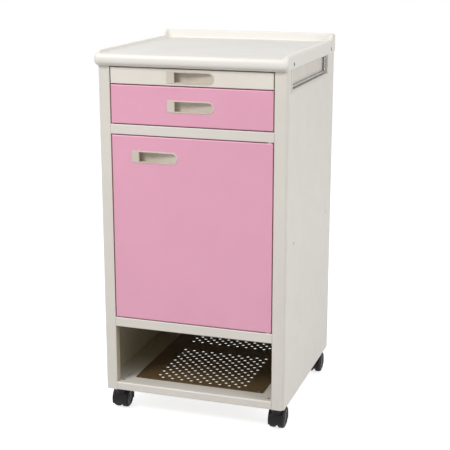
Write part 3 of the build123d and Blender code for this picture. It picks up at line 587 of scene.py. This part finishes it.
def addMargins(piece, low, high):
    # plain margins out to the plate's edges, the sides first, then rounded corners
    fieldHalf = shelfPlate["columns"] / 2 * shelfPlate["pitchX"]
    openEdit(piece)
    for side, reach in ((-1, low.x + fieldHalf), (1, high.x - fieldHalf)):
        pick(piece, "EDGE", lambda middle, edge: edge.is_boundary
             and abs(middle.x - side * fieldHalf) < near)
        bpy.ops.mesh.extrude_edges_move(TRANSFORM_OT_translate={"value": (reach, 0, 0)})
    ends = sorted(v.co.y for v in bmesh.from_edit_mesh(piece.data).verts)
    for place, reach in ((ends[0], low.y - ends[0]), (ends[-1], high.y - ends[-1])):
        pick(piece, "EDGE", lambda middle, edge: edge.is_boundary
             and abs(middle.y - place) < near)
        bpy.ops.mesh.extrude_edges_move(TRANSFORM_OT_translate={"value": (0, reach, 0)})
    pick(piece, "VERT", lambda middle, vert: abs(abs(middle.x) - high.x) < near
         and min(abs(middle.y - low.y), abs(middle.y - high.y)) < near)
    bpy.ops.mesh.bevel(affect="VERTICES", offset=shelfPlate["cornerRadius"],
                       segments=shelfPlate["cornerSteps"])
    bpy.ops.mesh.select_all(action="SELECT")
    bpy.ops.mesh.normals_make_consistent(inside=False)
    bpy.ops.transform.translate(value=(0, 0, high.z))
    closeEdit()


def cutCountersinks(piece, height):
    first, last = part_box("plate_screws")
    head = shelfPlate["screwHead"]
    for x in (first.x + head, last.x - head):
        for y in (first.y + head, last.y - head):
            sink = drawProfile("countersink", shelfPlate["sinkProfile"])
            spinProfile(sink, shelfPlate["sinkSteps"], (0, 0, 1))
            sink.location = (x, y, height)
            applyBoolean(piece, sink, "DIFFERENCE")


def makeShelfPlate():
    low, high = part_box("perforated_plate")
    piece = makeHoleField()
    addMargins(piece, low, high)
    # the sheet is the plate's top face, and the thickness goes down from it
    if piece.data.polygons[0].normal.z < 0:
        piece.data.flip_normals()
    applyModifier(piece, "SOLIDIFY", thickness=high.z - low.z, offset=-1)
    applyModifier(piece, "BEVEL", width=shelfPlate["rimBevel"], segments=1,
                  limit_method="ANGLE", angle_limit=shelfPlate["rimAngle"])
    cutCountersinks(piece, high.z)
    finishPiece(piece, "shelfPlate", "plate", "carcass", ["perforated_plate"],
                shelfPlate["smoothAngle"])


makeShelfPlate()
print("shelf plate made")

# casters: one wheel spun from its profile and one hood, copied to each corner

casterShape = {
    "axleHeight": 0.025,
    "trail": 0.012,                # from the king pin back to the axle
    "wheelSteps": 48,
    "wheelProfile": (              # across from the middle, out from the axle, in millimetres
        (16.9, 0.0), (16.9, 3.05), (4.3, 3.05), (4.3, 8.0), (5.1, 9.2), (5.1, 19.4), (4.3, 20.4),
        (4.3, 23.4), (4.8, 24.5), (5.9, 25.0), (9.6, 25.0), (9.8, 24.8), (10.6, 24.8), (10.8, 25.0),
        (13.6, 25.0), (15.4, 24.5), (17.0, 23.4), (18.2, 21.6), (18.8, 19.7), (18.4, 19.3),
        (18.4, 18.9), (19.1, 18.3), (19.7, 17.4), (19.6, 16.4), (18.9, 15.3), (18.2, 14.4),
        (17.5, 12.2), (17.2, 9.4), (17.4, 8.0), (18.1, 7.4), (18.5, 6.6), (18.7, 4.2), (18.75, 0.0),
    ),
    "wheelSmooth": 32,
    "hubRadius": 0.0191,           # the black face of the wheel lies within this
    "hubFrom": 0.012,
    "hoodRadius": 0.0277,
    "hoodHalf": 0.0183,
    "hoodBottom": 0.014,
    "hoodEdge": 0.0014,
    "sharpEnd": 0.0002,            # edges whose middle is lower than this over the cut stay sharp
    "webHalf": 0.0038,
    "cavityRadius": 0.0259,
    "axleBore": 0.00305,
    "pinBore": 0.00505,
    "pinBoreFrom": 0.0573,
    "pinBoreDepth": 0.03,
    "bossProfile": (               # out from the king pin, up from the floor, in millimetres
        (0.0, 42.2), (15.0, 42.2), (15.0, 70.2), (14.6, 71.0), (13.4, 71.3), (13.4, 72.4),
        (14.6, 72.7), (15.0, 73.4), (15.0, 77.0), (14.4, 78.0), (5.05, 78.0), (5.05, 57.3),
        (0.0, 57.3),
    ),
    "bossSteps": 48,
    "roundSteps": 96,
    "rimSteps": 4,
    "weld": 0.00001,
    "edgeBevel": 0.0004,
    "edgeAngle": math.radians(50),
    "hoodSmooth": 40,
}


def makeWheel():
    # soft tread and a hard black face, in two finishes
    shape = casterShape
    wheel = drawProfile("wheel", shape["wheelProfile"])
    spinProfile(wheel, shape["wheelSteps"], (1, 0, 0))
    wheel.data.materials.append(finishes["tread"])
    wheel.data.materials.append(finishes["black"])
    openEdit(wheel)
    pick(wheel, "FACE", lambda middle, face: middle.x > shape["hubFrom"]
         and math.hypot(middle.y, middle.z) < shape["hubRadius"])
    wheel.active_material_index = 1
    bpy.ops.object.material_slot_assign()
    closeEdit()
    return wheel


def roundTool(radius, depth, place, turn):
    # a cylinder to cut with or to build on
    bpy.ops.object.select_all(action="DESELECT")
    bpy.ops.mesh.primitive_cylinder_add(vertices=casterShape["roundSteps"], radius=radius,
                                        depth=depth, location=place, rotation=turn)
    piece = bpy.context.object
    bpy.ops.object.transform_apply(location=True, rotation=True, scale=True)
    return piece


def makeHood():
    # an arch over both wheels with a web between them, and a boss round the king pin
    shape = casterShape
    upright, sideways = (0, 0, 0), (0, math.pi / 2, 0)
    axle, half = shape["axleHeight"], shape["hoodHalf"]
    hood = roundTool(shape["hoodRadius"], 2 * half, (0, 0, axle), sideways)
    openEdit(hood)
    bpy.ops.mesh.select_all(action="SELECT")
    bpy.ops.mesh.bisect(plane_co=(0, 0, shape["hoodBottom"]), plane_no=(0, 0, 1), use_fill=True,
                        clear_inner=True)
    closeEdit()
    # soft rims where the arch ends at both sides
    openEdit(hood)
    pick(hood, "EDGE", lambda middle, edge: abs(abs(middle.x) - half) < near
         and middle.z > shape["hoodBottom"] + shape["sharpEnd"])
    bpy.ops.mesh.bevel(offset=shape["hoodEdge"], segments=shape["rimSteps"])
    closeEdit()
    boss = drawProfile("boss", shape["bossProfile"])
    spinProfile(boss, shape["bossSteps"], (0, 0, 1))
    boss.location = (0, -shape["trail"], 0)
    bpy.ops.object.select_all(action="DESELECT")
    boss.select_set(True)
    bpy.context.view_layer.objects.active = boss
    bpy.ops.object.transform_apply(location=True, rotation=True, scale=True)
    applyBoolean(hood, boss, "UNION")
    for side in (-1, 1):
        place = (side * (shape["webHalf"] + half), 0, axle)
        cavity = roundTool(shape["cavityRadius"], 2 * half, place, sideways)
        applyBoolean(hood, cavity, "DIFFERENCE")
    axleBore = roundTool(shape["axleBore"], 4 * half, (0, 0, axle), sideways)
    applyBoolean(hood, axleBore, "DIFFERENCE")
    # the union fills the king pin's bore where the arch is under it
    boreMiddle = (0, -shape["trail"], shape["pinBoreFrom"] + shape["pinBoreDepth"] / 2)
    pinBore = roundTool(shape["pinBore"], shape["pinBoreDepth"], boreMiddle, upright)
    applyBoolean(hood, pinBore, "DIFFERENCE")
    tidyMesh(hood, shape["weld"])
    applyModifier(hood, "BEVEL", width=shape["edgeBevel"], segments=2,
                  limit_method="ANGLE", angle_limit=shape["edgeAngle"])
    return hood


def makeCasters():
    shape = casterShape
    wheel, hood = makeWheel(), makeHood()
    for corner in corners:
        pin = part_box("caster_mount_" + corner)
        x, y = (pin[0].x + pin[1].x) / 2, (pin[0].y + pin[1].y) / 2
        middle = (x, y + shape["trail"], 0)
        piece = copyPiece(hood, 0, middle)
        finishPiece(piece, "casterHood_" + corner, "black", f"caster_{corner}_swivel",
                    ["caster_hood_" + corner], shape["hoodSmooth"])
        for side, turn in (("left", math.pi), ("right", 0)):
            piece = copyPiece(wheel, turn, middle[:2] + (shape["axleHeight"],))
            finishPiece(piece, f"casterWheel_{corner}_{side}", None,
                        f"caster_{corner}_wheel_{side}",
                        [f"caster_wheel_{corner}_{side}"], shape["wheelSmooth"])
    for piece in (wheel, hood):
        bpy.data.objects.remove(piece, do_unlink=True)


makeCasters()
print("casters made")

# floor, light and camera

studio = {
    "floorSize": 14.0,
    "floorTone": 0.55,
    "floorLift": 0.80,             # light the floor adds where it is seen directly
    "sky": 0.36,
    "cameraPlace": (0.834, -2.520, 1.128),
    "cameraAim": (0.010, 0.0, 0.440),
    "lens": 88,
    "lampAim": (0, 0, 0.45),
    "lamps": {                     # place, size in metres, and power in watts
        "keyLamp": ((-1.4, -2.4, 2.9), 1.3, 75),
        "sideLamp": ((3.0, -0.9, 1.9), 1.8, 44),
        "topLamp": ((0.2, 0.2, 3.2), 2.0, 8),
        "backLamp": ((-2.4, 2.2, 1.7), 2.0, 20),
    },
}


def seenDirectly(tree):
    # 1 for what the camera, a mirror or glass sees, 0 for the light that falls on the object
    rays = tree.nodes.new("ShaderNodeLightPath")
    both = tree.nodes.new("ShaderNodeMath")
    both.operation = "MAXIMUM"
    every = tree.nodes.new("ShaderNodeMath")
    every.operation = "MAXIMUM"
    tree.links.new(rays.outputs["Is Camera Ray"], both.inputs[0])
    tree.links.new(rays.outputs["Is Glossy Ray"], both.inputs[1])
    tree.links.new(both.outputs[0], every.inputs[0])
    tree.links.new(rays.outputs["Is Transmission Ray"], every.inputs[1])
    return every.outputs[0]


def makeFloor():
    bpy.ops.mesh.primitive_plane_add(size=studio["floorSize"], location=(0, 0, 0))
    floor = bpy.context.object
    floor.name = "studioFloor"
    paper = bpy.data.materials.new("floorPaper")
    paper.use_nodes = True
    tree = paper.node_tree
    tree.nodes.clear()
    matt = tree.nodes.new("ShaderNodeBsdfDiffuse")
    lift = tree.nodes.new("ShaderNodeEmission")
    both = tree.nodes.new("ShaderNodeAddShader")
    out = tree.nodes.new("ShaderNodeOutputMaterial")
    level = studio["floorTone"]
    matt.inputs["Color"].default_value = (level, level, level, 1)
    amount = tree.nodes.new("ShaderNodeMath")
    amount.operation = "MULTIPLY"
    amount.inputs[1].default_value = studio["floorLift"]
    tree.links.new(seenDirectly(tree), amount.inputs[0])
    tree.links.new(amount.outputs[0], lift.inputs["Strength"])
    tree.links.new(matt.outputs[0], both.inputs[0])
    tree.links.new(lift.outputs[0], both.inputs[1])
    tree.links.new(both.outputs[0], out.inputs["Surface"])
    floor.data.materials.append(paper)


def makeSky():
    world = bpy.data.worlds.new("studioSky")
    bpy.context.scene.world = world
    world.use_nodes = True
    tree = world.node_tree
    back = tree.nodes["Background"]
    level = tree.nodes.new("ShaderNodeMapRange")
    level.inputs["To Min"].default_value = studio["sky"]
    level.inputs["To Max"].default_value = 1.0
    tree.links.new(seenDirectly(tree), level.inputs["Value"])
    back.inputs["Color"].default_value = (1, 1, 1, 1)
    tree.links.new(level.outputs["Result"], back.inputs["Strength"])


def turnTowards(place, aim):
    # lamps and cameras look down their own z axis
    return (Vector(aim) - Vector(place)).to_track_quat("-Z", "Y").to_euler()


def softLamp(name, place, size, power):
    lamp = bpy.data.lights.new(name, "AREA")
    lamp.shape = "DISK"
    lamp.size = size
    lamp.energy = power
    holder = bpy.data.objects.new(name, lamp)
    bpy.context.scene.collection.objects.link(holder)
    holder.location = place
    holder.rotation_euler = turnTowards(place, studio["lampAim"])


def makeCamera():
    lens = bpy.data.cameras.new("viewCamera")
    lens.lens = studio["lens"]
    holder = bpy.data.objects.new("viewCamera", lens)
    bpy.context.scene.collection.objects.link(holder)
    holder.location = studio["cameraPlace"]
    holder.rotation_euler = turnTowards(studio["cameraPlace"], studio["cameraAim"])
    bpy.context.scene.camera = holder


makeFloor()
makeSky()
for name, (place, size, power) in studio["lamps"].items():
    softLamp(name, place, size, power)
makeCamera()
bpy.context.scene.view_settings.view_transform = "Standard"
print("floor, light and camera set")
